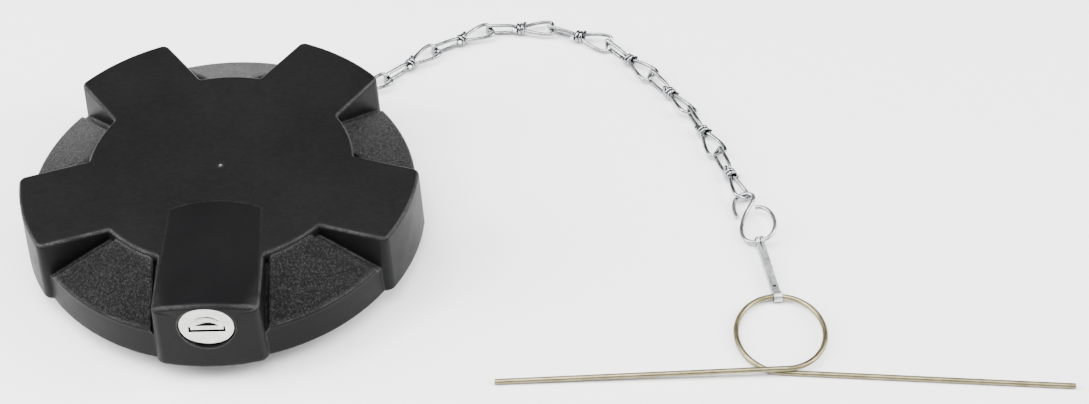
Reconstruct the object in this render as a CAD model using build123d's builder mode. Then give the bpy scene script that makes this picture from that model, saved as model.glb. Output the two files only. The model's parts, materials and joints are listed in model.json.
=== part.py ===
from build123d import *

import os
from math import atan2, cos, degrees, hypot, pi, radians, sin, tan

# A lockable bayonet cap for an 80 mm filler neck, lying on a table with its chain and wire anchor.
# Millimetres. Z = 0 is the plane of the neck's rim under the gasket, the cap's axis is Z, and the
# lock looks towards -Y.

# ---- driving heights --------------------------------------------------------------------------
FLOOR_Z = -9.0  # what the bayonet lugs stand on
SKIRT_Z = -2.0  # lower edge of the knob
RIM_Z = 8.9  # top of the low rim between the lobes
TOP_Z = 19.3  # flat top of the knob
CEILING_Z = 16.6  # inside of the flat top

# ---- knob -------------------------------------------------------------------------------------
LOBES = 5
LOBE_R = 59.0
LOBE_HALF_WIDTH = 15.1
LOBE_DRAFT = 2.4  # degrees
NOTCH_R = 39.5
SKIRT_R = 58.1
RIM_R = 57.5
WALL = 2.6
PAD_HEIGHT = 1.7  # how far a grip pad stands above the grooves beside it
GROOVE = 1.9  # width of the groove between a pad and a lobe
FRONT_GROOVE = 0.7  # the same beside the lobe with the lock
FRONT = -90  # direction of the lobe with the lock, degrees

# Height of the hump's crown at its back and front: at 20 mm to the side, and in the middle.
HUMP_BACK = (TOP_Z + 0.1, TOP_Z + 0.3)
HUMP_FRONT = (TOP_Z - 4.5, TOP_Z + 3.9)

# ---- lock -------------------------------------------------------------------------------------
LOCK_Z = 13.6
FACE_Y = -58.6  # front of the lock's face disc
FACE_R = 7.8
HEAD_R = 7.0
BARREL_R = 6.2
PLUG_HEAD_R = 6.0
PLUG_R = 4.65
RUN = 0.1  # radial clearance of a turning fit
HEAD_BACK_Y = -50.0
BARREL_BACK_Y = -40.0
PLUG_BACK_Y = -38.5
KEYWAY_Z = LOCK_Z - 1.0
WAFERS = 5
WAFER_PITCH = 1.9
WAFER_Y = -49.2
LOCK_PIN_X = 7.35
LOCK_PIN_Y = -53.5
CAM_R = 4.2
ECCENTRIC = 2.5  # radius of the cam pin
PIN_R = 0.8
GUIDE_Y = -34.6
GUIDE_SCREW_X = 8.2

# ---- bayonet core -----------------------------------------------------------------------------
SPIGOT_R = 38.5
SPIGOT_BORE_R = 35.5
SPIGOT_END_Z = -3.0
FLANGE_R = 48.6
FLANGE_Z = (5.3, 7.1)
HUB_R = 6.5
HUB_Z = (-1.0, 11.0)
STEM_R = 2.0
CROWN_R = (33.2, 36.3)
CROWN_TOP_Z = 11.3
CROWN_NOTCHES = 12
LUG_R = 43.5
LEG_ANGLE = 66  # degrees each leg spans
LUG_ANGLE = 40
VENT_X = -20.0

# ---- chain ------------------------------------------------------------------------------------
CHAIN_Z = FLOOR_Z + 2.35
CHAIN_WIRE_R = 0.5
PITCH = 20.7
PLAY = 0.64  # half the distance between two hooked wires
NARROW_HALF = 1.7
PEAR_HALF = 2.2
KNOT_R = 1.25
# Direction of every link on the table, and its roll about its own length, in degrees.
HEADINGS = [70, 62, 49, 38, 41, 28, 0, -25, -50, -57, -69, -73]
ROLLS = [0, 0, 0, 0, 5, 5, 5, 30, 5, -25, 5, -30]
HOOK_WIRE_R = 0.62
HOOK_HEADING = -82
HOOK_ROLL = 15
RING_WIRE_R = 0.8
RING_HALF_WIDTH = 12.9
RING_HALF_LENGTH = 14.2
STRAP_LENGTH = 22.0
STRAP_HEADING = -82
ARM_LENGTH = 83.0

os.makedirs("parts", exist_ok=True)


def save(part, name):
    """Write one finished piece as its own node."""
    part.label = name
    export_step(part, f"parts/{name}.step")


def ring(inner, outer, low, high):
    """Closed rectangle of a revolved ring, drawn in the current XZ sketch."""
    with Locations(((inner + outer) / 2, (low + high) / 2)):
        Rectangle(outer - inner, high - low)


def lock_plane(y):
    """Sketch plane across the lock's axis at y, with local +Y pointing up and +Z to the front."""
    return Plane(origin=(0, y, LOCK_Z), x_dir=(1, 0, 0), z_dir=(0, -1, 0))


# ================================================================================================
# Knob: a moulded cover with five grip lobes, hollow from below
# ================================================================================================
LOBE_ANGLES = [FRONT + i * 360 / LOBES for i in range(LOBES)]
HEIGHT = TOP_Z - SKIRT_Z
SPREAD = HEIGHT * tan(radians(LOBE_DRAFT))  # how much wider the lobes are at the bottom

# The low round body, whose sloping shoulder is the floor of the grooves.
with BuildPart() as disc:
    with BuildSketch(Plane.XZ):
        Polygon(
            (0, SKIRT_Z),
            (SKIRT_R, SKIRT_Z),
            (RIM_R, RIM_Z - PAD_HEIGHT),
            (NOTCH_R - 2, TOP_Z - 1 - PAD_HEIGHT),
            (0, TOP_Z - 1 - PAD_HEIGHT),
            align=None,
        )
    revolve(axis=Axis.Z)

# The grip pads: one sloping ring cut into sectors, with rounded edges.
with BuildPart() as pads:
    with BuildSketch(Plane.XZ):
        Polygon(
            (NOTCH_R - 4, RIM_Z - 4),
            (RIM_R, RIM_Z - 4),
            (RIM_R, RIM_Z),
            (NOTCH_R - 1, TOP_Z - 0.8),
            (NOTCH_R - 4, TOP_Z - 0.8),
            align=None,
        )
    revolve(axis=Axis.Z)
    with BuildSketch(Plane.XY.offset(RIM_Z - 5)):
        for angle in LOBE_ANGLES:
            groove = FRONT_GROOVE if angle == FRONT else GROOVE
            with Locations(Rot(0, 0, angle) * Pos(40, 0)):
                Rectangle(80, 2 * (LOBE_HALF_WIDTH + SPREAD / 2 + groove))
    extrude(amount=20, mode=Mode.SUBTRACT)
    shoulders = pads.faces().filter_by(GeomType.CONE)
    fillet(shoulders.edges(), 1.1)

# The five lobes and the flat top are one drafted star.
with BuildPart() as star:
    with BuildSketch(Plane.XY.offset(SKIRT_Z)) as star_outline:
        Circle(NOTCH_R + SPREAD)
        for angle in LOBE_ANGLES:
            with Locations(Rot(0, 0, angle) * Pos(40, 0)):
                Rectangle(80, 2 * (LOBE_HALF_WIDTH + SPREAD))
        Circle(LOBE_R + SPREAD, mode=Mode.INTERSECT)
        far = star_outline.vertices().filter_by(lambda v: hypot(v.X, v.Y) > NOTCH_R + 5)
        near = star_outline.vertices().filter_by(lambda v: hypot(v.X, v.Y) <= NOTCH_R + 5)
        fillet(far, 3.2)
        fillet(near, 4.5)
    extrude(amount=HEIGHT, taper=LOBE_DRAFT)
    fillet(star.edges().group_by(Axis.Z)[-1], 1.3)

# The lock's hump: a crowned surface that rises out of the flat top towards the front.
with BuildPart() as hump:
    with BuildSketch(Plane.XY.offset(SKIRT_Z)):
        with BuildLine():
            back_left = (-13.3, -18.2)
            back_right = (13.3, -18.2)
            front_left = (-14.4, -56.9)
            front_right = (14.4, -56.9)
            ThreePointArc(back_left, (0, -15.2), back_right)
            Line(back_right, front_right)
            ThreePointArc(front_right, (0, -LOBE_R - 0.25), front_left)
            Line(front_left, back_left)
        make_face()
    extrude(amount=HEIGHT + 8)
    for y, (side_z, middle_z) in ((14, HUMP_BACK), (62, HUMP_FRONT)):
        with BuildSketch(Plane.XZ.offset(y)):
            with BuildLine():
                Polyline((-20, side_z), (-20, 0), (20, 0), (20, side_z))
                ThreePointArc((20, side_z), (0, middle_z), (-20, side_z))
            make_face()
    loft(ruled=True, mode=Mode.INTERSECT)
    crease = hump.edges().filter_by(lambda e: e.center().Y < FACE_Y and e.center().Z > TOP_Z)
    fillet(crease, 1.3)


# The hollow underneath follows the outside, one wall thickness further in.
INNER_R = SKIRT_R - WALL - 0.5
SCREW_ANGLES = [FRONT + 72, FRONT + 144, FRONT + 216, FRONT + 288]
SCREW_R = 51.6
FRONT_SCREW_X = 11.4
FRONT_SCREW_Y = -50.4
BOSS_R = 2.6
BOSS_Z = FLANGE_Z[0] - 0.2
BLOCK_BACK_Y = -50.6  # back of the solid block that carries the lock's head

with BuildPart() as hollow:
    with BuildSketch(Plane.XZ):
        Polygon(
            (0, SKIRT_Z - 1),
            (INNER_R, SKIRT_Z - 1),
            (INNER_R, RIM_Z - PAD_HEIGHT - WALL),
            (NOTCH_R - 2, TOP_Z - 1 - PAD_HEIGHT - WALL),
            (0, TOP_Z - 1 - PAD_HEIGHT - WALL),
            align=None,
        )
    revolve(axis=Axis.Z)
    with BuildSketch(Plane.XY.offset(SKIRT_Z - 1)):
        Circle(NOTCH_R - WALL)
        for angle in LOBE_ANGLES:
            with Locations(Rot(0, 0, angle) * Pos(40, 0)):
                Rectangle(80, 2 * (LOBE_HALF_WIDTH - WALL))
        Circle(LOBE_R - WALL, mode=Mode.INTERSECT)
    extrude(amount=CEILING_Z - SKIRT_Z + 1)
    # The front lobe stays solid around the lock's head.
    with BuildSketch(Plane.XY.offset(BOSS_Z)):
        with Locations((0, (BLOCK_BACK_Y - 60) / 2)):
            Rectangle(2 * (LOBE_HALF_WIDTH - WALL) + 1, -60 - BLOCK_BACK_Y)
    extrude(amount=30, mode=Mode.SUBTRACT)

with BuildPart() as knob_cover:
    add(disc.part)
    add(pads.part)
    add(star.part)
    add(hump.part)
    add(hollow.part, mode=Mode.SUBTRACT)
    # Ring above the core's flange, open where the lock's barrel crosses it.
    with BuildSketch(Plane.XY.offset(FLANGE_Z[1] + 0.3)):
        Circle(45.4)
        Circle(43.4, mode=Mode.SUBTRACT)
        with Locations((0, -45)):
            Rectangle(20, 12, mode=Mode.SUBTRACT)
    extrude(until=Until.NEXT)
    # Socket that turns on the core's hub.
    with BuildSketch(Plane.XY.offset(8)):
        Circle(9)
        Circle(HUB_R + RUN, mode=Mode.SUBTRACT)
    extrude(amount=CEILING_Z - 8)
    # Screw bosses in the four plain lobes and beside the lock.
    with BuildSketch(Plane.XY.offset(BOSS_Z)):
        for angle in SCREW_ANGLES:
            with Locations(Rot(0, 0, angle) * Pos(SCREW_R, 0)):
                Circle(BOSS_R)
        with Locations((-FRONT_SCREW_X, FRONT_SCREW_Y), (FRONT_SCREW_X, FRONT_SCREW_Y)):
            Circle(BOSS_R)
    extrude(until=Until.NEXT)
    with BuildSketch(Plane.XY.offset(BOSS_Z)):
        for angle in SCREW_ANGLES:
            with Locations(Rot(0, 0, angle) * Pos(SCREW_R, 0)):
                Circle(1.4)
        with Locations((-FRONT_SCREW_X, FRONT_SCREW_Y), (FRONT_SCREW_X, FRONT_SCREW_Y)):
            Circle(1.4)
    extrude(amount=9, mode=Mode.SUBTRACT)
    # Bore for the lock's head and the wider recess round its face.
    with BuildSketch(lock_plane(HEAD_BACK_Y + 0.1)):
        Circle(HEAD_R + 0.05)
    extrude(amount=12, mode=Mode.SUBTRACT)
    with BuildSketch(lock_plane(FACE_Y + 1.4)):
        Circle(FACE_R + 0.25)
    extrude(amount=12, mode=Mode.SUBTRACT)
    # Clearance over the barrel, the cam and the raised bolt, and the small holes round the lock.
    with BuildSketch(lock_plane(PLUG_BACK_Y + 0.2)):
        Circle(BARREL_R + 0.4)
    extrude(amount=PLUG_BACK_Y + 0.2 - BLOCK_BACK_Y, mode=Mode.SUBTRACT)
    with BuildSketch(lock_plane(PLUG_BACK_Y + 1.8)):
        Circle(CAM_R + 0.4)
    extrude(amount=2, mode=Mode.SUBTRACT)
    with BuildSketch(Plane.XY.offset(CEILING_Z - 1)):
        with Locations((0, -34.6)):
            Rectangle(10.6, 4.0)
    extrude(amount=2.4, mode=Mode.SUBTRACT)
    with BuildSketch(Plane.XY.offset(CEILING_Z - 1)):
        with Locations((-GUIDE_SCREW_X, GUIDE_Y), (GUIDE_SCREW_X, GUIDE_Y)):
            Circle(1.1)
    extrude(amount=2.5, mode=Mode.SUBTRACT)
    with BuildSketch(Plane.XY.offset(BOSS_Z - 0.1)):
        with Locations((LOCK_PIN_X, LOCK_PIN_Y)):
            Circle(1.02)
    extrude(amount=12.3, mode=Mode.SUBTRACT)
    # Moulding gate mark in the middle of the flat top.
    with BuildSketch(Plane.XY.offset(TOP_Z)):
        Circle(0.9)
        Circle(0.45, mode=Mode.SUBTRACT)
    extrude(amount=-0.3, mode=Mode.SUBTRACT)
save(knob_cover.part, "knob_cover")

# Ring under the core's flange that holds the core in the knob, and its six screws.
RING_Z = (FLANGE_Z[0] - 2.1, FLANGE_Z[0] - 0.2)
screw_spots = [(SCREW_R * cos(radians(a)), SCREW_R * sin(radians(a))) for a in SCREW_ANGLES]
screw_spots += [(-FRONT_SCREW_X, FRONT_SCREW_Y), (FRONT_SCREW_X, FRONT_SCREW_Y)]

with BuildPart() as retainer_ring:
    with BuildSketch(Plane.XY.offset(RING_Z[0])):
        Circle(53.9)
        Circle(46.8, mode=Mode.SUBTRACT)
        with Locations(*screw_spots):
            Circle(1.6, mode=Mode.SUBTRACT)
    extrude(amount=RING_Z[1] - RING_Z[0])
save(retainer_ring.part, "retainer_ring")

with BuildPart() as screw:
    with BuildSketch(Plane.XZ):
        with BuildLine():
            Polyline((0, 9.5), (0.6, 9.5), (1.3, 8.4), (1.3, 0), (2.7, 0), (2.7, -0.8))
            ThreePointArc((2.7, -0.8), (1.5, -1.5), (0, -1.7))
            Line((0, -1.7), (0, 9.5))
        make_face()
    revolve(axis=Axis.Z)
    with BuildSketch(Plane.XY.offset(-1.8)):
        Rectangle(3.0, 0.6)
        Rectangle(0.6, 3.0)
    extrude(amount=1.1, mode=Mode.SUBTRACT)

with BuildPart() as retainer_screws:
    for x, y in screw_spots:
        with Locations((x, y, RING_Z[0])):
            add(screw.part)
save(retainer_screws.part, "retainer_screws")

# ================================================================================================
# Bayonet core: flange, spigot, hub, crown of notches for the lock, and two lugged legs
# ================================================================================================
with BuildPart() as bayonet_core:
    with BuildSketch(Plane.XZ):
        ring(STEM_R + RUN, HUB_R, HUB_Z[0], HUB_Z[1])
        ring(HUB_R - 1, FLANGE_R, FLANGE_Z[0], FLANGE_Z[1])
        ring(SPIGOT_BORE_R, SPIGOT_R, SPIGOT_END_Z, 0)
        ring(SPIGOT_BORE_R, SPIGOT_R - 0.3, 0, FLANGE_Z[0])
        ring(CROWN_R[0], CROWN_R[1], FLANGE_Z[1], CROWN_TOP_Z)
    revolve(axis=Axis.Z)
    # Notches the lock's bolt can drop into.
    with BuildSketch(Plane.XY.offset(FLANGE_Z[1])):
        for i in range(CROWN_NOTCHES):
            with Locations(Rot(0, 0, FRONT + i * 360 / CROWN_NOTCHES) * Pos(35, 0)):
                Rectangle(6, 11)
    extrude(amount=6, mode=Mode.SUBTRACT)
    # Legs on the X axis, each ending in an outward lug; the chain leaves between them.
    with BuildSketch(Plane.XY.offset(FLOOR_Z)):
        for side in (0, 180):
            with Locations(Rot(0, 0, side)):
                with BuildLine():
                    half = radians(LEG_ANGLE / 2)
                    c, s = cos(half), sin(half)
                    inner, outer = SPIGOT_BORE_R, SPIGOT_R
                    ThreePointArc((inner * c, -inner * s), (inner, 0), (inner * c, inner * s))
                    Line((inner * c, inner * s), (outer * c, outer * s))
                    ThreePointArc((outer * c, outer * s), (outer, 0), (outer * c, -outer * s))
                    Line((outer * c, -outer * s), (inner * c, -inner * s))
                make_face()
    extrude(amount=SPIGOT_END_Z - FLOOR_Z)
    with BuildSketch(Plane.XY.offset(FLOOR_Z)):
        for side in (0, 180):
            with Locations(Rot(0, 0, side)):
                with BuildLine():
                    half = radians(LUG_ANGLE / 2)
                    c, s = cos(half), sin(half)
                    inner, outer = SPIGOT_R - 0.5, LUG_R
                    ThreePointArc((inner * c, -inner * s), (inner, 0), (inner * c, inner * s))
                    Line((inner * c, inner * s), (outer * c, outer * s))
                    ThreePointArc((outer * c, outer * s), (outer, 0), (outer * c, -outer * s))
                    Line((outer * c, -outer * s), (inner * c, -inner * s))
                make_face()
    extrude(amount=3.2)
    # Ribs between hub and spigot, with a well for the vent valve.
    with BuildSketch(Plane.XY.offset(1.5)):
        for i in range(6):
            with Locations(Rot(0, 0, 30 + i * 60) * Pos(21, 0)):
                Rectangle(31, 1.8)
        with Locations((VENT_X, 0)):
            Circle(6.6)
            Circle(5.0, mode=Mode.SUBTRACT)
    extrude(amount=FLANGE_Z[0] - 1.5)
    with BuildSketch(Plane.XY.offset(FLANGE_Z[0])):
        with Locations((VENT_X, 0)):
            Circle(2.2)
    extrude(amount=5, mode=Mode.SUBTRACT)
save(bayonet_core.part, "bayonet_core")

# Rubber gasket on its sprung pressure plate.
GASKET_TOP_Z = 2.5
PLATE_TOP_Z = 3.4
with BuildPart() as neck_gasket:
    with BuildSketch(Plane.XZ):
        ring(SPIGOT_R - 0.2, 46.0, 0, GASKET_TOP_Z)
    revolve(axis=Axis.Z)
    chamfer(neck_gasket.edges().filter_by(GeomType.CIRCLE).sort_by(SortBy.RADIUS)[-2:], 0.4)
save(neck_gasket.part, "neck_gasket")

with BuildPart() as pressure_plate:
    with BuildSketch(Plane.XZ):
        ring(SPIGOT_R - 0.2, 46.4, GASKET_TOP_Z, PLATE_TOP_Z)
    revolve(axis=Axis.Z)
save(pressure_plate.part, "pressure_plate")

WAVE_R = 42.2
WAVE_WIRE_R = 0.45
WAVES = 4
wave_mid = (PLATE_TOP_Z + FLANGE_Z[0]) / 2
wave_lift = (FLANGE_Z[0] - PLATE_TOP_Z) / 2 - WAVE_WIRE_R - 0.02
with BuildPart() as wave_spring:
    with BuildLine():
        crests = []
        for i in range(8 * WAVES):
            turn = 2 * pi * i / (8 * WAVES)
            lift = wave_lift * sin(WAVES * turn)
            crests.append((WAVE_R * cos(turn), WAVE_R * sin(turn), wave_mid + lift))
        wave_path = Spline(*crests)
    with BuildSketch(Plane(wave_path @ 0, z_dir=wave_path % 0)):
        Circle(WAVE_WIRE_R)
    sweep()
save(wave_spring.part, "wave_spring")

# ---- vent valve: a sprung disc that opens downwards --------------------------------------------
with BuildPart() as vent_seal:
    with BuildSketch(Plane.XY.offset(FLANGE_Z[0] - 0.6)):
        with Locations((VENT_X, 0)):
            Circle(4.4)
            Circle(2.2, mode=Mode.SUBTRACT)
    extrude(amount=0.6)
save(vent_seal.part, "vent_seal")

VENT_DISC_Z = FLANGE_Z[0] - 1.4
with BuildPart() as vent_disc:
    with BuildSketch(Plane.XY.offset(VENT_DISC_Z)):
        with Locations((VENT_X, 0)):
            Circle(4.5)
    extrude(amount=0.8)
    with BuildSketch(Plane.XY.offset(VENT_DISC_Z - 0.5)):
        with Locations((VENT_X, 0)):
            Circle(1.8)
    extrude(amount=0.5)
save(vent_disc.part, "vent_disc")

VENT_CAGE_Z = -2.2
with BuildPart() as vent_cage:
    with BuildSketch(Plane.XY.offset(VENT_CAGE_Z)):
        with Locations((VENT_X, 0)):
            Circle(7.8)
    extrude(amount=1.0)
    with BuildSketch(Plane.XY.offset(VENT_CAGE_Z + 1.0)):
        with Locations((VENT_X, 0)):
            Circle(7.8)
            Circle(6.65, mode=Mode.SUBTRACT)
    extrude(amount=4.6)
    with BuildSketch(Plane.XY.offset(VENT_CAGE_Z)):
        with Locations((VENT_X, 0)):
            with PolarLocations(4.9, 6):
                Circle(0.9)
    extrude(amount=1.0, mode=Mode.SUBTRACT)
save(vent_cage.part, "vent_cage")

VENT_SPRING_LOW = VENT_CAGE_Z + 1.0
VENT_SPRING_HIGH = VENT_DISC_Z
with BuildPart() as vent_coil_part:
    coil_height = VENT_SPRING_HIGH - VENT_SPRING_LOW - 0.6
    with BuildLine():
        vent_coil = Helix(pitch=coil_height / 4, height=coil_height, radius=2.6)
    with BuildSketch(Plane(vent_coil @ 0, z_dir=vent_coil % 0)):
        Circle(0.25)
    sweep(is_frenet=True)
with BuildPart() as vent_spring:
    with Locations((VENT_X, 0, VENT_SPRING_LOW + 0.3)):
        add(vent_coil_part.part)
save(vent_spring.part, "vent_spring")

# ---- swivel that carries the chain in the middle of the core -----------------------------------
EYE_Z = CHAIN_Z
EYE_WIRE_R = 0.75
EYE_R = 2.2
with BuildPart() as chain_swivel:
    with BuildSketch(Plane.XZ):
        ring(0, STEM_R, -1.6, HUB_Z[1] + 1.9)
        ring(0, 3.4, HUB_Z[0] - 1.1, HUB_Z[0] - 0.1)
    revolve(axis=Axis.Z)
    with BuildSketch(Plane.XZ):
        with Locations((STEM_R, HUB_Z[1] + 0.9)):
            Rectangle(0.9, 0.7)
    revolve(axis=Axis.Z, mode=Mode.SUBTRACT)
    # The eye stands across the first link, and its lowest stretch carries it.
    first = radians(HEADINGS[0])
    eye = Plane(
        origin=(0, 0, EYE_Z + EYE_R),
        x_dir=(-sin(first), cos(first), 0),
        z_dir=(cos(first), sin(first), 0),
    )
    with Locations(eye):
        Torus(EYE_R, EYE_WIRE_R)
save(chain_swivel.part, "chain_swivel")

with BuildPart() as swivel_clip:
    with BuildSketch(Plane.XY.offset(HUB_Z[1] + 0.6)):
        Circle(3.9)
        Circle(1.58, mode=Mode.SUBTRACT)
        with Locations((0, 3)):
            Rectangle(2.2, 6, mode=Mode.SUBTRACT)
    extrude(amount=0.6)
save(swivel_clip.part, "swivel_clip")

with BuildPart() as swivel_washer:
    with BuildSketch(Plane.XY.offset(HUB_Z[1] + 0.05)):
        Circle(4.6)
        Circle(STEM_R + RUN, mode=Mode.SUBTRACT)
    extrude(amount=0.5)
save(swivel_washer.part, "swivel_washer")

# ================================================================================================
# Lock: housing, turning plug with its face, wafers, cam and the bolt it lifts
# ================================================================================================
HEAD_BORE_Y = HEAD_BACK_Y - 0.6
GROOVE_LENGTH = 9.4
with BuildPart() as lock_housing:
    with BuildSketch(lock_plane(HEAD_BACK_Y)):
        Circle(HEAD_R)
    extrude(amount=HEAD_BACK_Y - FACE_Y - 1.35)
    with BuildSketch(lock_plane(BARREL_BACK_Y)):
        Circle(BARREL_R)
    extrude(amount=BARREL_BACK_Y - HEAD_BACK_Y)
    with BuildSketch(lock_plane(BARREL_BACK_Y)):
        Circle(PLUG_R + RUN)
    extrude(amount=30, mode=Mode.SUBTRACT)
    with BuildSketch(lock_plane(HEAD_BORE_Y)):
        Circle(PLUG_HEAD_R + RUN)
    extrude(amount=30, mode=Mode.SUBTRACT)
    # Groove the wafers spring out into.
    with BuildSketch(lock_plane(BARREL_BACK_Y - 0.5)):
        Rectangle(10.8, 5.0)
    extrude(amount=GROOVE_LENGTH, mode=Mode.SUBTRACT)
    # Flat that the retaining pin locks.
    with BuildSketch(Plane.XY):
        with Locations((LOCK_PIN_X, LOCK_PIN_Y)):
            Circle(1.05)
    extrude(amount=30, mode=Mode.SUBTRACT)
save(lock_housing.part, "lock_housing")

with BuildPart() as lock_pin:
    with BuildSketch(Plane.XY.offset(BOSS_Z + 0.2)):
        with Locations((LOCK_PIN_X, LOCK_PIN_Y)):
            Circle(1.0)
    extrude(amount=11.8)
save(lock_pin.part, "lock_pin")

TANG = 2.4
CAM_Y = (BARREL_BACK_Y + 1.6, BARREL_BACK_Y + 3.0)
FLAP_Y = -57.3  # front of the shutter's plate
FLAP_LOW = -2.2
HINGE_Y = -56.5
HINGE_RISE = 2.3
POCKET_BACK_Y = -51.4
with BuildPart() as lock_plug:
    with BuildSketch(lock_plane(PLUG_BACK_Y)):
        Circle(PLUG_R)
    extrude(amount=PLUG_BACK_Y - HEAD_BORE_Y + 0.2)
    with BuildSketch(lock_plane(HEAD_BORE_Y - 0.1)):
        Circle(PLUG_HEAD_R)
    extrude(amount=HEAD_BORE_Y - 0.1 - FACE_Y - 1.2)
    with BuildSketch(lock_plane(CAM_Y[1] + 0.1)):
        Rectangle(TANG, TANG)
    extrude(amount=CAM_Y[1] + 0.1 - PLUG_BACK_Y + 0.5)
    # Keyway, wafer slots, the shutter's pocket and its hinge holes.
    with BuildSketch(lock_plane(BARREL_BACK_Y - 0.4)):
        with Locations((0, KEYWAY_Z - LOCK_Z)):
            Rectangle(7.8, 2.1)
    extrude(amount=14, mode=Mode.SUBTRACT)
    for i in range(WAFERS):
        with BuildSketch(lock_plane(WAFER_Y + i * WAFER_PITCH + 0.5)):
            Rectangle(12, 4.8)
        extrude(amount=1.0, mode=Mode.SUBTRACT)
    with BuildSketch(lock_plane(POCKET_BACK_Y)):
        with Locations((0, 0.45)):
            Rectangle(9.6, 5.5)
    extrude(amount=8, mode=Mode.SUBTRACT)
    with BuildSketch(Plane.YZ.offset(-7)):
        with Locations((HINGE_Y, LOCK_Z + HINGE_RISE)):
            Circle(0.4)
    extrude(amount=14, mode=Mode.SUBTRACT)
    # Groove for the retaining clip behind the barrel.
    with BuildSketch(lock_plane(BARREL_BACK_Y + 0.9)):
        Circle(PLUG_R + 1)
        Circle(3.9, mode=Mode.SUBTRACT)
    extrude(amount=0.6, mode=Mode.SUBTRACT)
save(lock_plug.part, "lock_plug")

SLOT_HEIGHT = 2.2
SLOT_TOP = KEYWAY_Z - LOCK_Z + SLOT_HEIGHT / 2
SCOOP_HALF = 4.3
SCOOP_DEPTH = 1.0
SCOOP_R = (SCOOP_HALF**2 + SCOOP_DEPTH**2) / (2 * SCOOP_DEPTH)
with BuildPart() as scoop:
    with Locations((0, FACE_Y - SCOOP_R + SCOOP_DEPTH, LOCK_Z + SLOT_TOP)):
        Sphere(SCOOP_R)
    split(bisect_by=Plane.XY.offset(LOCK_Z + SLOT_TOP - 0.01))

with BuildPart() as lock_face:
    with BuildSketch(lock_plane(FACE_Y + 1.2)):
        Circle(FACE_R)
        with Locations((0, KEYWAY_Z - LOCK_Z)):
            Rectangle(10.4, SLOT_HEIGHT, mode=Mode.SUBTRACT)
    extrude(amount=1.2)
    fillet(lock_face.edges().filter_by(GeomType.CIRCLE).sort_by(Axis.Y)[0], 0.3)
    # Half-moon scoop over the key slot, deepest beside it.
    add(scoop.part, mode=Mode.SUBTRACT)
save(lock_face.part, "lock_face")

with BuildPart() as plug_clip:
    with BuildSketch(lock_plane(BARREL_BACK_Y + 0.85)):
        Circle(5.4)
        Circle(3.95, mode=Mode.SUBTRACT)
        with Locations((0, -4.5)):
            Rectangle(3, 5, mode=Mode.SUBTRACT)
    extrude(amount=0.5)
save(plug_clip.part, "plug_clip")

with BuildPart() as lock_wafers:
    for i in range(WAFERS):
        with BuildSketch(lock_plane(WAFER_Y + i * WAFER_PITCH + 0.45)):
            Circle(PLUG_R - 0.05)
            Rectangle(9.2, 4.6, mode=Mode.INTERSECT)
            with Locations((0, KEYWAY_Z - LOCK_Z)):
                Rectangle(6.4, 2.1, mode=Mode.SUBTRACT)
        extrude(amount=0.9)
save(lock_wafers.part, "lock_wafers")

# Eccentric cam: half a turn of the key's quarter turn lies above the axis and half below.
PIN_X = ECCENTRIC * cos(radians(45))
PIN_RISE = ECCENTRIC * sin(radians(45))
BOLT_Y = (-36.1, -33.1)
with BuildPart() as lock_cam:
    with BuildSketch(lock_plane(CAM_Y[1])):
        Circle(CAM_R)
        Rectangle(TANG + 0.1, TANG + 0.1, mode=Mode.SUBTRACT)
    extrude(amount=CAM_Y[1] - CAM_Y[0])
    with BuildSketch(lock_plane(BOLT_Y[1] - 0.3)):
        with Locations((-PIN_X, PIN_RISE)):
            Circle(PIN_R)
    extrude(amount=BOLT_Y[1] - 0.3 - CAM_Y[1] + 0.5)
save(lock_cam.part, "lock_cam")

with BuildPart() as lock_bolt:
    with BuildSketch(Plane.XZ.offset(-BOLT_Y[1])):
        with Locations((0, 14.75)):
            Rectangle(10.0, 5.5)
        with Locations((0, LOCK_Z + PIN_RISE)):
            Rectangle(7.2, 2 * PIN_R + 0.24, mode=Mode.SUBTRACT)
    extrude(amount=BOLT_Y[1] - BOLT_Y[0])
save(lock_bolt.part, "lock_bolt")

with BuildPart() as bolt_guide:
    with BuildSketch(Plane.XY.offset(11.8)):
        with Locations((0, -34.6)):
            Rectangle(20, 4.4)
            Rectangle(10.2, 3.2, mode=Mode.SUBTRACT)
        with Locations((-GUIDE_SCREW_X, GUIDE_Y), (GUIDE_SCREW_X, GUIDE_Y)):
            Circle(1.1, mode=Mode.SUBTRACT)
    extrude(amount=CEILING_Z - 11.8)
    with BuildSketch(lock_plane(-36.0)):
        Circle(3.5)
    extrude(amount=2, mode=Mode.SUBTRACT)
    with BuildSketch(Plane.XY.offset(11.8)):
        with Locations((-GUIDE_SCREW_X, GUIDE_Y), (GUIDE_SCREW_X, GUIDE_Y)):
            Circle(1.6)
    extrude(amount=1.2, mode=Mode.SUBTRACT)
save(bolt_guide.part, "bolt_guide")

with BuildPart() as guide_screws:
    for side in (-1, 1):
        with Locations((side * GUIDE_SCREW_X, GUIDE_Y, 12.4)):
            Cylinder(1.5, 1.0)
        with Locations((side * GUIDE_SCREW_X, GUIDE_Y, 15.2)):
            Cylinder(1.0, 5.4)
save(guide_screws.part, "guide_screws")

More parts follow.
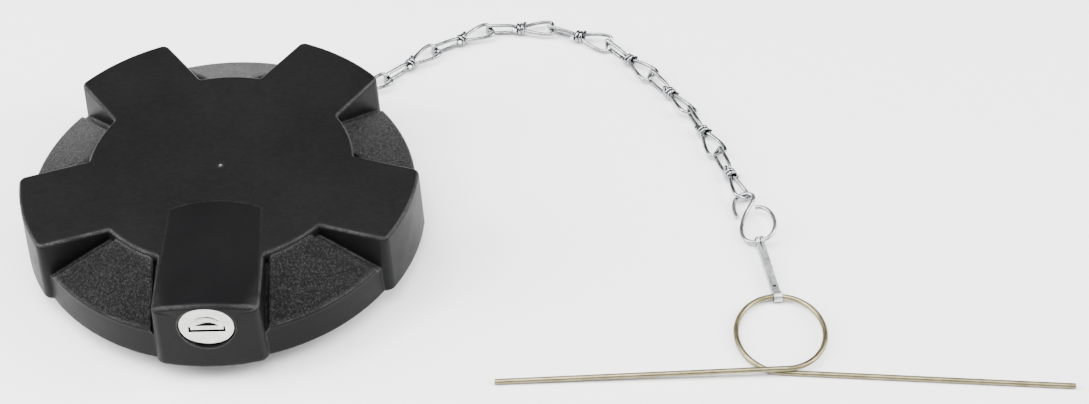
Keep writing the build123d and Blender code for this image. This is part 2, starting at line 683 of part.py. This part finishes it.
# ---- dust shutter behind the key slot ----------------------------------------------------------
with BuildPart() as key_shutter:
    with BuildSketch(lock_plane(FLAP_Y + 0.6)):
        with Locations((0, (HINGE_RISE + FLAP_LOW) / 2)):
            Rectangle(9.2, HINGE_RISE - FLAP_LOW)
    extrude(amount=0.6)
    # The raised pad that closes the key slot.
    with BuildSketch(lock_plane(FLAP_Y)):
        with Locations((0, SLOT_TOP - 1.05)):
            Rectangle(9.2, 1.8)
    extrude(amount=FLAP_Y - FACE_Y - 0.4)
    pad_low = key_shutter.edges().filter_by(Axis.X).group_by(Axis.Y)[0].sort_by(Axis.Z)[0]
    chamfer(pad_low, 0.3)
    with BuildSketch(Plane.YZ.offset(-4.6)):
        with Locations((HINGE_Y, LOCK_Z + HINGE_RISE)):
            Circle(0.8)
    extrude(amount=6.2)
    with BuildSketch(Plane.YZ.offset(-5)):
        with Locations((HINGE_Y, LOCK_Z + HINGE_RISE)):
            Circle(0.45)
    extrude(amount=10, mode=Mode.SUBTRACT)
    # Room for the spring beside the rolled eye.
    with BuildSketch(Plane.YZ.offset(1.6)):
        with Locations((HINGE_Y, LOCK_Z + HINGE_RISE)):
            Circle(1.2)
    extrude(amount=4, mode=Mode.SUBTRACT)
save(key_shutter.part, "key_shutter")

with BuildPart() as shutter_pin:
    with BuildSketch(Plane.YZ.offset(-5.3)):
        with Locations((HINGE_Y, LOCK_Z + HINGE_RISE)):
            Circle(0.38)
    extrude(amount=10.6)
save(shutter_pin.part, "shutter_pin")

with BuildPart() as shutter_coil:
    with BuildLine():
        coil = Helix(pitch=0.45, height=1.8, radius=0.72)
    with BuildSketch(Plane(coil @ 0, z_dir=coil % 0)):
        Circle(0.14)
    sweep(is_frenet=True)
with BuildPart() as shutter_spring:
    with Locations(Location((2.2, HINGE_Y, LOCK_Z + HINGE_RISE), (0, 90, 0))):
        add(shutter_coil.part)
save(shutter_spring.part, "shutter_spring")

# ================================================================================================
# Chain of knotted double-loop links
# ================================================================================================
LINK_END = PITCH / 2 + PLAY


def wire_loop(points, radius, wire_r, plane):
    """Round wire bent along points in a plane, with rounded corners."""
    with BuildPart() as loop:
        with BuildLine(plane):
            path = FilletPolyline(*points, radius=radius)
        with BuildSketch(Plane(path @ 0, z_dir=path % 0)):
            Circle(wire_r)
        sweep()
    return loop.part


narrow = NARROW_HALF
narrow_points = [
    (-0.6, 0.42),
    (-2.9, narrow - 0.1),
    (-LINK_END, narrow),
    (-LINK_END, -narrow),
    (-2.9, -narrow + 0.1),
    (-0.6, -0.42),
]
pear = PEAR_HALF
pear_points = [
    (0.6, 0.42),
    (2.4, 1.3),
    (LINK_END - 1.3, pear + 0.1),
    (LINK_END, pear - 0.9),
    (LINK_END, 0.9 - pear),
    (LINK_END - 1.3, -pear - 0.1),
    (2.4, -1.3),
    (0.6, -0.42),
]
narrow_loop = wire_loop(narrow_points, 1.0, CHAIN_WIRE_R, Plane.XZ)
pear_loop = wire_loop(pear_points, 0.7, CHAIN_WIRE_R, Plane.XY)

with BuildPart() as link:
    with Locations(Rot(0, 90, 0)):
        Cylinder(0.95, 2.6)
    for x in (-0.85, 0, 0.85):
        with Locations(Location((x, 0, 0), (0, 90, 0))):
            Torus(KNOT_R, CHAIN_WIRE_R)
    # Cut ends of the wire, standing out of the knot on both sides.
    for lean in (70, -60):
        with Locations(Location((0, 0, 0), (lean, 25, 0))):
            Cylinder(CHAIN_WIRE_R * 0.96, 4.9)
    add(narrow_loop)
    add(pear_loop)

# Joints between the links, walked from the eye of the swivel.
first = radians(HEADINGS[0])
joints = [(-0.8 * cos(first), -0.8 * sin(first))]
for heading in HEADINGS:
    x, y = joints[-1]
    joints.append((x + PITCH * cos(radians(heading)), y + PITCH * sin(radians(heading))))

for i, (heading, roll) in enumerate(zip(HEADINGS, ROLLS)):
    x = (joints[i][0] + joints[i + 1][0]) / 2
    y = (joints[i][1] + joints[i + 1][1]) / 2
    with BuildPart() as placed_link:
        with Locations(Location((x, y, CHAIN_Z)) * Rot(0, 0, heading) * Rot(roll, 0, 0)):
            add(link.part)
    save(placed_link.part, f"chain_link_{i + 1:02d}")

# ---- S-hook ------------------------------------------------------------------------------------
# Bent wire in the hook's own plane: X along its length, Y to its left.
hook_points = [
    (7.4, -3.7),
    (3.2, -3.8),
    (0.3, -2.4),
    (-0.75, 0.6),
    (0.6, 2.8),
    (5.3, 0.5),
    (10.6, -2.9),
    (14.0, -3.9),
    (17.6, -3.2),
    (19.6, 0.2),
    (18.4, 4.3),
    (15.0, 6.4),
    (11.5, 6.7),
    (8.0, 5.6),
    (5.9, 2.4),
]
hook_plane = Plane(
    Location((joints[-1][0], joints[-1][1], CHAIN_Z))
    * Rot(0, 0, HOOK_HEADING)
    * Rot(HOOK_ROLL, 0, 0)
)
with BuildPart() as s_hook:
    with BuildLine(hook_plane):
        hook_path = Spline(*hook_points)
    with BuildSketch(Plane(hook_path @ 0, z_dir=hook_path % 0)):
        Circle(HOOK_WIRE_R)
    sweep()
save(s_hook.part, "s_hook")

# ---- folded strap between hook and anchor ------------------------------------------------------
STRAP_R = 1.65
STRAP_BORE_R = 1.15
STRAP_WIDTH = 2.4
strap_way = radians(STRAP_HEADING)
hook_bottom = hook_plane.from_local_coords((19.6, 0.4, 0))
ring_top_z = FLOOR_Z + RING_WIRE_R + 0.9
strap_plane = Plane(
    origin=(hook_bottom.X, hook_bottom.Y, 0),
    x_dir=(cos(strap_way), sin(strap_way), 0),
    z_dir=(sin(strap_way), -cos(strap_way), 0),
)
strap_top = Plane(
    origin=(hook_bottom.X, hook_bottom.Y, FLOOR_Z),
    x_dir=(cos(strap_way), sin(strap_way), 0),
    z_dir=(0, 0, 1),
)
with BuildPart() as anchor_strap:
    with BuildSketch(strap_plane.offset(-STRAP_WIDTH / 2)):
        top_eye = (0, hook_bottom.Z)
        low_eye = (STRAP_LENGTH, ring_top_z)
        slope = degrees(atan2(low_eye[1] - top_eye[1], STRAP_LENGTH))
        with Locations(top_eye, low_eye):
            Circle(STRAP_R)
        with Locations(Location((STRAP_LENGTH / 2, (top_eye[1] + low_eye[1]) / 2, 0), (0, 0, slope))):
            Rectangle(STRAP_LENGTH, 1.5)
            Rectangle(STRAP_LENGTH, 0.3, mode=Mode.SUBTRACT)
        with Locations(top_eye, low_eye):
            Circle(STRAP_BORE_R, mode=Mode.SUBTRACT)
    extrude(amount=STRAP_WIDTH)
    # The top end is slit into two narrow hooks, and the lower end is punched.
    with BuildSketch(strap_top):
        with Locations((1.0, 0)):
            Rectangle(6.4, 0.55)
        with Locations((STRAP_LENGTH - 3.6, 0)):
            Rectangle(1.0, 1.1)
    extrude(amount=12, mode=Mode.SUBTRACT)
save(anchor_strap.part, "anchor_strap")

# ---- spring-wire anchor: one turn and two long arms --------------------------------------------
ANCHOR_HEADING = -2.3
RING_RISE = 2 * RING_WIRE_R + 0.15
ARM_DROOP = 2.9
low_z = FLOOR_Z + RING_WIRE_R + 0.05
strap_end = (
    hook_bottom.X + STRAP_LENGTH * cos(strap_way),
    hook_bottom.Y + STRAP_LENGTH * sin(strap_way),
)
anchor_way = radians(ANCHOR_HEADING)
ring_centre = (
    strap_end[0] + RING_HALF_LENGTH * sin(anchor_way),
    strap_end[1] - RING_HALF_LENGTH * cos(anchor_way),
)
anchor_plane = Plane(Location((ring_centre[0], ring_centre[1], 0)) * Rot(0, 0, ANCHOR_HEADING))
TURN_CORNERS = 20
droop = radians(ARM_DROOP)
arm_x = ARM_LENGTH * cos(droop)
arm_y = -RING_HALF_LENGTH - ARM_LENGTH * sin(droop)
corner_out = 1 / cos(pi / TURN_CORNERS)
anchor_points = [(arm_x, arm_y, low_z), (0, -RING_HALF_LENGTH, low_z)]
for i in range(TURN_CORNERS):
    t = 2 * pi * (i + 0.5) / TURN_CORNERS
    anchor_points.append(
        (
            -RING_HALF_WIDTH * corner_out * sin(t),
            -RING_HALF_LENGTH * corner_out * cos(t),
            low_z + RING_RISE * t / (2 * pi),
        )
    )
anchor_points += [(0, -RING_HALF_LENGTH, low_z + RING_RISE), (-arm_x, arm_y, low_z)]
bend_radii = [18] + [11] * TURN_CORNERS + [18]
with BuildPart() as wire_anchor:
    with BuildLine(anchor_plane):
        anchor_path = FilletPolyline(*anchor_points, radius=bend_radii)
    with BuildSketch(Plane(anchor_path @ 0, z_dir=anchor_path % 0)):
        Circle(RING_WIRE_R)
    sweep()
save(wire_anchor.part, "wire_anchor")
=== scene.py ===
import json
from math import cos, pi, radians, sin

import bpy
from mathutils import Matrix, Vector

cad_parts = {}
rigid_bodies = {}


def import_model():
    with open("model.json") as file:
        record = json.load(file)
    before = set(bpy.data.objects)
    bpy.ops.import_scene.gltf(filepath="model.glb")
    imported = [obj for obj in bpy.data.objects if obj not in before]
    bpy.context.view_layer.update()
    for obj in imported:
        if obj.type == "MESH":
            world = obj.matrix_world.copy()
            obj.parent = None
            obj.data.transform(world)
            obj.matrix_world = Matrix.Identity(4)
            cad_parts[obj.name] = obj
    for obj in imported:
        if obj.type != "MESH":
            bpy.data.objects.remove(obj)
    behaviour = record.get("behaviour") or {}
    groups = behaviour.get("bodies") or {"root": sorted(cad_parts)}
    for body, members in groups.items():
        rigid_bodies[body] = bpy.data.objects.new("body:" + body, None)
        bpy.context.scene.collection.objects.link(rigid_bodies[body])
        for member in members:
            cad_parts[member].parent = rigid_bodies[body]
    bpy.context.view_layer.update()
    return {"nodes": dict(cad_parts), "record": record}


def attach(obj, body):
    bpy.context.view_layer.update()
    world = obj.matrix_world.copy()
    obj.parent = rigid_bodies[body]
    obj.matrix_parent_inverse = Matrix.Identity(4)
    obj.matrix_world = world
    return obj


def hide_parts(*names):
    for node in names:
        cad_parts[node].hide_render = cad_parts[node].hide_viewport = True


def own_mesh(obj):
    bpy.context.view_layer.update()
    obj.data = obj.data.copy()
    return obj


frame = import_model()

# A lockable filler cap with its chain and wire anchor, laid on a pale floor.
# Metres. Z = 0 is the plane of the neck's rim, the cap's axis is Z and the lock looks towards -Y.

MM = 0.001
RESTING_Z = -9 * MM  # what the chain and the anchor lie on
FLOOR_Z = RESTING_Z - 0.02 * MM  # a hair lower, so that no face of a piece lies in the floor's own

# ---- knob ------------------------------------------------------------------------------------------
TOP_Z = 19.3 * MM  # its flat top
PAD_R = (38.5 * MM, 57.6 * MM)  # the ring on which the sloping grip pads lie
HIGHLIGHT_LINE_Y = -52 * MM  # in front of this line the painted highlights on the edges of the lock's hump are strongest

# ---- chain links, as the CAD places them -----------------------------------------------------------
PITCH = 20.7 * MM  # from joint to joint
PLAY = 0.64 * MM  # half the distance between two hooked wires
CHAIN_Z = RESTING_Z + 2.35 * MM
FIRST_JOINT = 0.8 * MM  # how far the first joint lies behind the cap's axis
HEADINGS = [70, 62, 49, 38, 41, 28, 0, -25, -50, -57, -69, -73]  # degrees from +X, link by link
ROLLS = [0, 0, 0, 0, 5, 5, 5, 30, 5, -25, 5, -30]  # degrees about the link's own length
CHAIN_WIRE_R = 0.58 * MM
KNOT_R = 1.22 * MM  # from the link's axis to the middle of the wound wire, at the knot's ends
KNOT_BULGE = 0.36 * MM  # how much more that is in the knot's middle
KNOT_TURNS = 2.5
KNOT_PITCH = 1.2 * MM
CUT_END = 1.3 * MM  # how high the wire's cut ends reach above the link's middle

# The Mix node's sockets for each kind of value: its inputs A and B, and its output.
NUMBER_MIX = (2, 3, 0)
COLOUR_MIX = (6, 7, 2)


class Finish:
    """A procedural material being built on one Principled shader."""

    def __init__(self, name, **sockets):
        self.material = bpy.data.materials.new(name)
        self.material.use_nodes = True
        self.nodes = self.material.node_tree.nodes
        self.links = self.material.node_tree.links
        self.shader = self.nodes["Principled BSDF"]
        for socket, value in sockets.items():
            self.shader.inputs[socket.replace("_", " ")].default_value = value
        self.place = self.add("ShaderNodeTexCoord").outputs["Object"]
        self.facing = self.add("ShaderNodeNewGeometry").outputs["Normal"]

    def add(self, kind, **settings):
        """A new node with its settings."""
        node = self.nodes.new(kind)
        for name, value in settings.items():
            setattr(node, name, value)
        return node

    def feed(self, socket, value):
        """Links an output to the socket, or sets a plain value on it."""
        if isinstance(value, bpy.types.NodeSocket):
            self.links.new(value, socket)
        else:
            socket.default_value = value

    def maths(self, operation, a, b=0.0):
        """The operation on a and b, which are outputs or plain numbers."""
        node = self.add("ShaderNodeMath", operation=operation)
        for socket, value in zip(node.inputs, (a, b)):
            self.feed(socket, value)
        return node.outputs[0]

    def times(self, *values):
        """The product of two or more values."""
        product = values[0]
        for value in values[1:]:
            product = self.maths("MULTIPLY", product, value)
        return product

    def inverted(self, value):
        """1 where the value is 0, and 0 where it is 1."""
        return self.maths("SUBTRACT", 1.0, value)

    def split(self, vector):
        """The X, Y and Z of a vector."""
        node = self.add("ShaderNodeSeparateXYZ")
        self.links.new(vector, node.inputs[0])
        return node.outputs

    def step(self, value, low, high, start=0.0, end=1.0):
        """Goes smoothly from start to end as value goes from low to high."""
        node = self.add("ShaderNodeMapRange", interpolation_type="SMOOTHSTEP")
        for socket, number in zip(node.inputs, (value, low, high, start, end)):
            self.feed(socket, number)
        return node.outputs[0]

    def noise(self, size, detail=2.0, roughness=0.5, stretch=(1, 1, 1)):
        """Noise with features of about that size in metres."""
        node = self.add("ShaderNodeTexNoise")
        scaled = self.add("ShaderNodeVectorMath", operation="MULTIPLY")
        self.links.new(self.place, scaled.inputs[0])
        scaled.inputs[1].default_value = stretch
        self.links.new(scaled.outputs[0], node.inputs["Vector"])
        node.inputs["Scale"].default_value = 1 / size
        node.inputs["Detail"].default_value = detail
        node.inputs["Roughness"].default_value = roughness
        return node.outputs["Fac"]

    def cells(self, size):
        """Round cells of about that size in metres: 0 in a cell's middle, rising to its edge."""
        node = self.add("ShaderNodeTexVoronoi", feature="SMOOTH_F1")
        self.links.new(self.place, node.inputs["Vector"])
        node.inputs["Scale"].default_value = 1 / size
        node.inputs["Randomness"].default_value = 1.0
        return node.outputs["Distance"]

    def blended(self, kind, sockets, amount, a, b):
        """What a Mix node of that kind makes of a and b."""
        node = self.add("ShaderNodeMix", data_type=kind)
        a_socket, b_socket, result = sockets
        self.feed(node.inputs["Factor"], amount)
        self.feed(node.inputs[a_socket], a)
        self.feed(node.inputs[b_socket], b)
        return node.outputs[result]

    def mix(self, amount, a, b):
        """Colour a, going to b as amount goes to 1."""
        return self.blended("RGBA", COLOUR_MIX, amount, a, b)

    def between(self, amount, a, b):
        """Number a, going to b as amount goes to 1."""
        return self.blended("FLOAT", NUMBER_MIX, amount, a, b)

    def bump(self, height, depth):
        """Bump of the height, where 1 stands that depth in metres above 0."""
        node = self.add("ShaderNodeBump")
        node.inputs["Distance"].default_value = depth
        self.links.new(height, node.inputs["Height"])
        return node.outputs[0]

    def edges(self, radius):
        """1 on rounded and sharp edges, 0 on plain surfaces."""
        node = self.add("ShaderNodeBevel", samples=6)
        node.inputs["Radius"].default_value = radius
        dot = self.add("ShaderNodeVectorMath", operation="DOT_PRODUCT")
        self.links.new(node.outputs[0], dot.inputs[0])
        self.links.new(self.facing, dot.inputs[1])
        plain, sharp = 0.995, 0.9  # cosines of how far an edge of that radius turns the surface
        return self.step(dot.outputs["Value"], plain, sharp)

    def crevices(self, reach):
        """1 in gaps narrower than about that reach in metres, 0 in the open."""
        node = self.add("ShaderNodeAmbientOcclusion", samples=8)
        node.inputs["Distance"].default_value = reach
        in_the_open, closed_in = 0.85, 0.3  # shares of the surroundings that the surface sees
        return self.step(node.outputs["AO"], in_the_open, closed_in)

    def finish(self, colour=None, roughness=None, normal=None):
        """Joins the results to the shader and returns the material."""
        if colour is not None:
            self.links.new(colour, self.shader.inputs["Base Color"])
        if roughness is not None:
            self.links.new(roughness, self.shader.inputs["Roughness"])
        if normal is not None:
            self.links.new(normal, self.shader.inputs["Normal"])
        return self.material


def shade(colour, gain=1.0):
    """The colour times the gain, with its alpha."""
    return tuple(min(1.0, part * gain) for part in colour) + (1,)


def black_plastic():
    """Moulded knob: fine grain on top, coarse pebbled pads, and painted highlights on its corners,
    edges, pad rims and the pads' grain crests.
    """
    f = Finish("black_plastic", IOR=1.47, Specular_IOR_Level=0.075)
    x, y, z = f.split(f.place)
    up = f.split(f.facing)[2]
    radius = f.maths("SQRT", f.maths("ADD", f.times(x, x), f.times(y, y)))

    # Regions. The pads slope; the flat top looks straight up and the walls look sideways.
    inner, outer = PAD_R
    sloping = f.times(f.step(up, 0.55, 0.8), f.step(up, 0.985, 0.95))
    past_inner = f.step(radius, inner, inner + 2.5 * MM)
    short_of_outer = f.step(radius, outer, outer - 1.0 * MM)
    below_top = f.step(z, TOP_Z - 0.7 * MM, TOP_Z - 1.7 * MM)
    pad = f.times(sloping, past_inner, short_of_outer, below_top)
    hump = f.step(z, TOP_Z + 0.02 * MM, TOP_Z + 0.12 * MM)
    behind_line = f.step(y, HIGHLIGHT_LINE_Y, HIGHLIGHT_LINE_Y + 2 * MM)
    less_highlit = f.times(f.step(z, TOP_Z - 0.1 * MM, TOP_Z), behind_line)
    flat = f.times(f.step(up, 0.9, 0.98), f.inverted(hump))
    # The moulding gate's clipped stub, pale in the middle of its dimple.
    in_dimple = f.step(z, TOP_Z - 1.3 * MM, TOP_Z - 0.8 * MM)
    gate = f.times(f.step(radius, 0.7 * MM, 0.4 * MM), in_dimple)

    # Grain: pebbles with wrinkles over them on the pads, and much finer elsewhere.
    pebbles = f.inverted(f.cells(0.0006))
    wrinkles = f.noise(0.0003, 2.0, 0.6)
    pad_grain = f.maths("ADD", f.times(pebbles, 0.5), wrinkles)
    fine_grain = f.times(f.noise(0.0004, 3.0, 0.6), 0.14)
    normal = f.bump(f.between(pad, fine_grain, pad_grain), 0.0005)
    # the crests of the pads' grain: smoother, and painted paler as painted glints
    crest = f.times(f.step(pad_grain, 0.72, 1.08), pad)

    # Painted highlights: rounded corners between the walls and the top, sharp edges and the pads' rims
    # are painted paler, in patches, and less so on the hump behind the highlight line.
    corner = f.times(f.step(up, 0.3, 0.55), f.step(up, 0.95, 0.85), f.inverted(pad))
    pad_rim = f.times(f.edges(0.0020), pad)
    sharp = f.times(f.edges(0.0009), f.inverted(f.times(less_highlit, 0.7)))
    painted_edge_highlight = f.maths("MAXIMUM", f.times(corner, 0.45), f.maths("MAXIMUM", sharp, pad_rim))
    patches = f.step(f.noise(0.007), 0.35, 0.65, 0.4, 1.0)
    painted_edge_highlight = f.times(painted_edge_highlight, f.step(wrinkles, 0.38, 0.62, 0.1, 0.9), patches)
    painted_edge_highlight = f.times(painted_edge_highlight, f.inverted(f.crevices(0.002)))

    dark = shade((0.0036, 0.0036, 0.0039))
    grey = shade((0.0050, 0.0050, 0.0053))
    # paler grey: the plastic's own colour for the flat top's specks and the gate stub, and the painted
    # highlights on edges and grain crests
    pale_tone_and_highlight = shade((0.10, 0.10, 0.10))
    specks = f.step(f.noise(0.0005, 3.0, 0.6, (0.3, 1, 1)), 0.35, 0.7)
    tone = f.mix(f.step(f.noise(0.03, 1.0), 0.3, 0.7), dark, grey)
    # specks on the flat top and the gate stub are the plastic's own paler colour; the crests and edges
    # get painted highlights
    for amount in (f.times(specks, flat, 0.018), f.times(crest, 0.3), painted_edge_highlight, gate):
        tone = f.mix(amount, tone, pale_tone_and_highlight)

    rough = f.maths("ADD", 0.42, f.times(flat, 0.08))
    rough = f.maths("SUBTRACT", rough, f.times(crest, 0.16))
    rough = f.maths("ADD", rough, f.step(f.noise(0.006, 3.0), 0.3, 0.7, -0.02, 0.02))
    return f.finish(tone, rough, normal)


def dark_plastic():
    """Plain moulded inner pieces."""
    f = Finish("dark_plastic", IOR=1.47)
    tone = f.mix(f.noise(0.004, 3.0), shade((0.022, 0.022, 0.024)), shade((0.05, 0.05, 0.053)))
    rough = f.step(f.noise(0.002, 3.0), 0.3, 0.7, 0.42, 0.58)
    return f.finish(tone, rough, f.bump(f.noise(0.0007), 0.00004))


def metal(name, dark, light, rough, grain_size, grain_depth, stretch=(1, 1, 1)):
    """Bare or plated metal: cloudy colour, uneven gloss, fine marks, painted highlights on edges and
    painted shade in gaps.
    """
    f = Finish(name, Metallic=1.0)
    tone = f.mix(f.step(f.noise(0.004, 4.0, 0.6), 0.3, 0.7), shade(dark), shade(light))
    # painted highlight: edges are painted in a brighter copy of the metal's light tone
    tone = f.mix(f.times(f.edges(0.0005), 0.5), tone, shade(light, 1.35))
    # painted shade: gaps, contacts and undersides close to the floor are painted in a darker copy of
    # the dark tone
    tone = f.mix(f.times(f.crevices(0.0012), 0.9), tone, shade(dark, 0.15))
    marks = f.noise(grain_size, 4.0, 0.65, stretch)
    gloss = f.step(f.noise(0.0015, 4.0, 0.6, stretch), 0.3, 0.7, rough[0], rough[1])
    return f.finish(tone, gloss, f.bump(marks, grain_depth))


def zinc_steel():
    return metal("zinc_steel", (0.24, 0.245, 0.25), (0.46, 0.47, 0.48), (0.24, 0.38), 0.0004, 0.00003)


def brushed_zinc():
    """Rolled strip, with the marks of the rolls along the strap."""
    dark, light = (0.30, 0.31, 0.32), (0.62, 0.63, 0.64)
    return metal("brushed_zinc", dark, light, (0.42, 0.55), 0.0003, 0.00004, (1, 0.1, 1))


def zinc_casting():
    return metal("zinc_casting", (0.24, 0.25, 0.26), (0.40, 0.41, 0.42), (0.30, 0.50), 0.0006, 0.00006)


def spring_steel():
    return metal("spring_steel", (0.20, 0.20, 0.21), (0.38, 0.38, 0.39), (0.20, 0.38), 0.0003, 0.00002)


def chain_zinc():
    return metal("chain_zinc", (0.13, 0.135, 0.14), (0.38, 0.39, 0.40), (0.16, 0.30), 0.0004, 0.00002)


def yellow_zinc():
    return metal("yellow_zinc", (0.18, 0.155, 0.09), (0.28, 0.245, 0.15), (0.32, 0.48), 0.0005, 0.00003)


def brass():
    return metal("brass", (0.40, 0.29, 0.13), (0.60, 0.47, 0.24), (0.20, 0.36), 0.0004, 0.00003)


def nickel():
    return metal("nickel", (0.44, 0.435, 0.42), (0.58, 0.575, 0.56), (0.08, 0.18), 0.0005, 0.00001)


def rubber():
    """Nitrile rubber with a dusty bloom."""
    f = Finish("rubber", IOR=1.5)
    bloom = f.step(f.noise(0.003, 4.0), 0.35, 0.7)
    tone = f.mix(bloom, shade((0.016, 0.016, 0.017)), shade((0.045, 0.044, 0.043)))
    rough = f.step(f.noise(0.0012, 3.0), 0.3, 0.7, 0.6, 0.8)
    return f.finish(tone, rough, f.bump(f.noise(0.0006, 3.0), 0.00005))


FINISHES = {
    "black_plastic": black_plastic,
    "dark_plastic": dark_plastic,
    "zinc_steel": zinc_steel,
    "zinc_casting": zinc_casting,
    "spring_steel": spring_steel,
    "rubber": rubber,
    "nickel": nickel,
    "brass": brass,
    "chain_zinc": chain_zinc,
    "yellow_zinc": yellow_zinc,
}


def dress_nodes():
    """Gives every CAD node the finish of its slot, and the strap its own. Returns the finishes."""
    materials = {slot: make() for slot, make in FINISHES.items()}
    for subpart in frame["record"]["subparts"]:
        mesh = frame["nodes"][subpart["node"]].data
        mesh.materials.clear()
        mesh.materials.append(materials[subpart["material_slot"]])
    strap = frame["nodes"]["anchor_strap"].data
    strap.materials[0] = brushed_zinc()
    return materials


def add_wire(data, points):
    """One smooth length of wire through about those points, in metres."""
    spline = data.splines.new("NURBS")
    spline.points.add(len(points) - 1)
    for place, point in zip(spline.points, points):
        place.co = (*point, 1)
    spline.order_u = 3
    spline.use_endpoint_u = True
    spline.resolution_u = 6


def mirrored(points):
    """The flat points, and then back along their mirror image."""
    return points + [(x, -y) for x, y in reversed(points)]


def knot_wire():
    """The wound part of a link's wire, with its cut ends standing out of it upwards."""
    turn_steps = 12
    steps = round(KNOT_TURNS * turn_steps)
    knot = []
    for step in range(steps + 1):
        angle = pi + 2 * pi * step / turn_steps
        along = KNOT_PITCH * (step / turn_steps - KNOT_TURNS / 2)
        radius = KNOT_R + KNOT_BULGE * sin(pi * step / steps)
        knot.append((along, radius * cos(angle), radius * sin(angle)))
    first = (knot[0][0] - 0.4 * MM, knot[0][1] - 0.6 * MM, CUT_END)
    last = (knot[-1][0] + 0.2 * MM, knot[-1][1] + 0.4 * MM, CUT_END)
    return [first] + knot + [last]


def link_mesh():
    """One link: a lying pear loop, a narrow upright loop, and the knot between them."""
    data = bpy.data.curves.new("link_wire", "CURVE")
    data.dimensions = "3D"
    data.bevel_depth = CHAIN_WIRE_R
    data.bevel_resolution = 4
    data.use_fill_caps = True
    end = (PITCH / 2 + PLAY) / MM
    # Half of each loop, in millimetres, from the knot to its end.
    half_pear = [(-0.8, 0.42), (0.9, 0.45), (2.6, 1.5), (8.4, 3.0), (end, 2.6), (end, 0.8)]
    half_narrow = [(0.8, 0.42), (-1.0, 0.5), (-2.6, 1.7), (-9.6, 1.75), (-end, 1.75), (-end, 0.6)]
    add_wire(data, [Vector((x, y, 0)) * MM for x, y in mirrored(half_pear)])
    add_wire(data, [Vector((x, 0, y)) * MM for x, y in mirrored(half_narrow)])
    add_wire(data, knot_wire())
    holder = bpy.data.objects.new("link_wire", data)
    mesh = bpy.data.meshes.new_from_object(holder)
    bpy.data.objects.remove(holder)
    mesh.shade_smooth()
    return mesh


def chain_links(material):
    """The knotted links, which stand for the CAD's simpler ones."""
    mesh = link_mesh()
    mesh.materials.clear()
    mesh.materials.append(material)
    start = Vector((cos(radians(HEADINGS[0])), sin(radians(HEADINGS[0])), 0)) * -FIRST_JOINT
    start.z = CHAIN_Z
    for number, (heading, roll) in enumerate(zip(HEADINGS, ROLLS), 1):
        turn = Matrix.Rotation(radians(heading), 4, "Z")
        lean = Matrix.Rotation(radians(roll), 4, "X")
        step = turn @ Vector((PITCH, 0, 0))
        node = f"chain_link_{number:02d}"
        piece = bpy.data.objects.new(f"wire_link_{number:02d}", mesh)
        piece.matrix_world = Matrix.Translation(start + step / 2) @ turn @ lean
        bpy.context.collection.objects.link(piece)
        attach(piece, node)
        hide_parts(node)
        start = start + step


def springs():
    """A copy of each deforming spring, riding on its joint's parent, in place of the CAD's spring."""
    for joint in frame["record"]["behaviour"]["joints"]:
        for spring in joint.get("deforming_nodes", []):
            node = spring["node"]
            piece = bpy.data.objects.new(f"{node}_wire", frame["nodes"][node].data.copy())
            bpy.context.collection.objects.link(piece)
            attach(piece, joint["parent"])
            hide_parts(node)
            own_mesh(piece)


def floor():
    """A plain pale floor under the object."""
    half = 4.0  # metres, so that no view from near the object shows its edge
    mesh = bpy.data.meshes.new("floor")
    corners = [(x * half, y * half, FLOOR_Z) for x, y in ((-1, -1), (1, -1), (1, 1), (-1, 1))]
    mesh.from_pydata(corners, [], [(0, 1, 2, 3)])
    piece = bpy.data.objects.new("floor", mesh)
    bpy.context.collection.objects.link(piece)
    f = Finish("floor", Roughness=0.9)
    f.shader.inputs["Base Color"].default_value = (0.93, 0.93, 0.93, 1)
    mesh.materials.append(f.finish())


def area_light(name, place, target, size, power):
    """A soft rectangular light at place, turned to target."""
    data = bpy.data.lights.new(name, "AREA")
    data.shape = "RECTANGLE"
    data.size, data.size_y = size
    data.energy = power
    lamp = bpy.data.objects.new(name, data)
    lamp.location = place
    lamp.rotation_euler = (Vector(target) - Vector(place)).to_track_quat("-Z", "Y").to_euler()
    bpy.context.collection.objects.link(lamp)


def studio():
    """Dim surroundings, and large soft lights that keep the floor white."""
    world = bpy.data.worlds.new("studio")
    world.use_nodes = True
    background = world.node_tree.nodes["Background"]
    background.inputs["Color"].default_value = (1, 1, 1, 1)
    background.inputs["Strength"].default_value = 0.15
    bpy.context.scene.world = world
    middle = (0.06, 0.0, 0.0)
    area_light("top_soft", (-0.1, -0.15, 1.3), middle, (1.5, 0.8), 52.0)
    area_light("left_soft", (-1.0, -0.1, 0.7), middle, (0.6, 1.0), 36.0)
    area_light("right_soft", (1.15, -0.1, 0.7), middle, (0.6, 1.0), 34.0)


def camera():
    """The viewing angle of a catalogue picture, from above the front."""
    place = (0.08247, -0.44389, 0.45424)
    direction = Vector((0.02148, 0.69918, -0.71462))
    data = bpy.data.cameras.new("camera")
    data.sensor_width = 36
    data.lens = 69.08
    data.clip_start = 0.01
    viewer = bpy.data.objects.new("camera", data)
    viewer.location = place
    viewer.rotation_euler = direction.to_track_quat("-Z", "Y").to_euler()
    bpy.context.collection.objects.link(viewer)
    bpy.context.scene.camera = viewer


finishes = dress_nodes()
chain_links(finishes["chain_zinc"])
springs()
floor()
studio()
camera()
